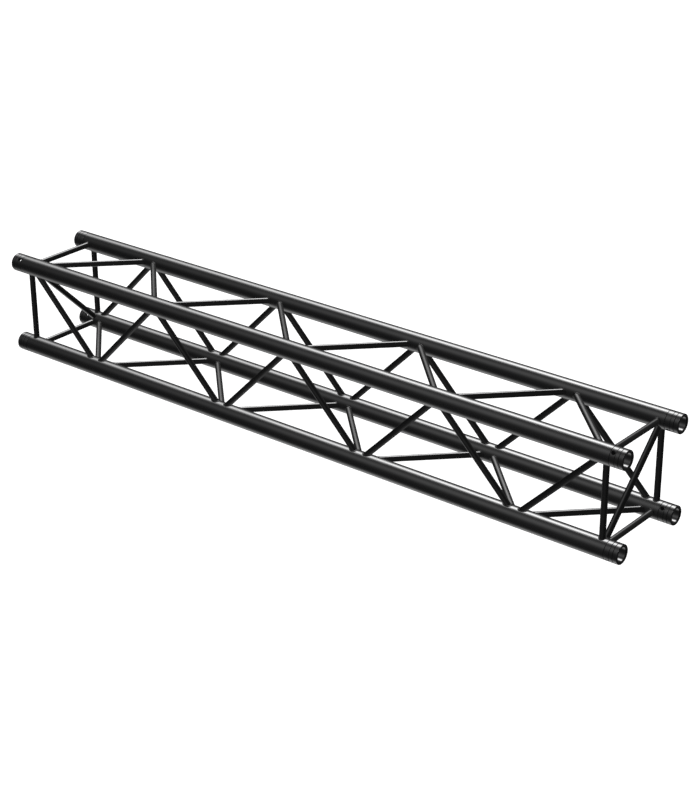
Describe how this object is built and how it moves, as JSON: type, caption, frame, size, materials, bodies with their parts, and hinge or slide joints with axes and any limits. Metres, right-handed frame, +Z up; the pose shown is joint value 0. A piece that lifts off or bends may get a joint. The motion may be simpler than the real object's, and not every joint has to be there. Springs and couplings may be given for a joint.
{
  "type": "lighting truss section",
  "caption": "Straight square box truss section: round chords laced with diagonal tubes, an end frame with a diagonal at each end, and open pinned coupler sockets in the chord ends.",
  "frame": {"origin": "centre of the section, half way along it and midway between the four chords", "axes": "+X along the chords to the right-hand end, -Y is the front face, +Z up"},
  "size_m": [2, 0.29, 0.29],
  "materials": {
    "tube": "satin black powder coat",
    "receiver": "satin black powder coat",
    "weld": "satin black powder coat over weld bead"
  },
  "bodies": {
    "root": {"chord_front_top": "tube", "chord_rear_top": "tube", "chord_front_bottom": "tube", "chord_rear_bottom": "tube", "receiver_front_top_left": "receiver", "receiver_front_top_right": "receiver", "receiver_rear_top_left": "receiver", "receiver_rear_top_right": "receiver", "receiver_front_bottom_left": "receiver", "receiver_front_bottom_right": "receiver", "receiver_rear_bottom_left": "receiver", "receiver_rear_bottom_right": "receiver", "brace_front_1": "tube", "brace_front_2": "tube", "brace_front_3": "tube", "brace_front_4": "tube", "brace_front_5": "tube", "brace_front_6": "tube", "brace_front_7": "tube", "brace_front_8": "tube", "brace_rear_1": "tube", "brace_rear_2": "tube", "brace_rear_3": "tube", "brace_rear_4": "tube", "brace_rear_5": "tube", "brace_rear_6": "tube", "brace_rear_7": "tube", "brace_rear_8": "tube", "brace_top_1": "tube", "brace_top_2": "tube", "brace_top_3": "tube", "brace_top_4": "tube", "brace_top_5": "tube", "brace_top_6": "tube", "brace_top_7": "tube", "brace_top_8": "tube", "brace_bottom_1": "tube", "brace_bottom_2": "tube", "brace_bottom_3": "tube", "brace_bottom_4": "tube", "brace_bottom_5": "tube", "brace_bottom_6": "tube", "brace_bottom_7": "tube", "brace_bottom_8": "tube", "post_front_left": "tube", "post_rear_left": "tube", "rail_top_left": "tube", "rail_bottom_left": "tube", "end_diagonal_left": "tube", "post_front_right": "tube", "post_rear_right": "tube", "rail_top_right": "tube", "rail_bottom_right": "tube", "end_diagonal_right": "tube", "welds_front_top": "weld", "welds_rear_top": "weld", "welds_front_bottom": "weld", "welds_rear_bottom": "weld", "ring_welds": "weld"}
  },
  "joints": []
}
